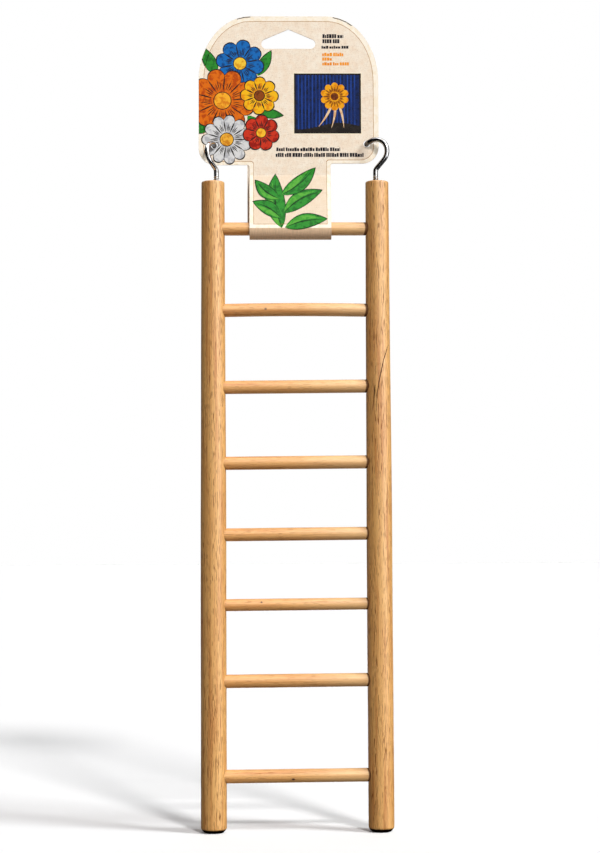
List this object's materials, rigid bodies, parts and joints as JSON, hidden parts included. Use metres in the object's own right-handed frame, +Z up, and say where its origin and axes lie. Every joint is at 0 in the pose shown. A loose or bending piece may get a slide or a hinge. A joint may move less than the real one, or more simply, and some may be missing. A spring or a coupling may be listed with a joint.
{
  "type": "bird ladder",
  "caption": "Wooden ladder for a bird cage: round side rails and rungs, a steel screw hook in the top of each rail, and a folded card looped round the top rung.",
  "frame": {"origin": "on the ground, midway between the two feet", "axes": "+Z up along the rails, +X from the left rail to the right rail as seen from the front, +Y to the back"},
  "size_m": [0.1133, 0.015, 0.4822],
  "materials": {
    "rail_wood": "satin",
    "rung_wood": "satin",
    "hook_steel": "polished",
    "card": "satin"
  },
  "bodies": {
    "root": {"left_rail": "rail_wood", "right_rail": "rail_wood", "rung_1": "rung_wood", "rung_2": "rung_wood", "rung_3": "rung_wood", "rung_4": "rung_wood", "rung_5": "rung_wood", "rung_6": "rung_wood", "rung_7": "rung_wood", "rung_8": "rung_wood", "left_hook": "hook_steel", "right_hook": "hook_steel", "hang_card": "card"}
  },
  "joints": []
}
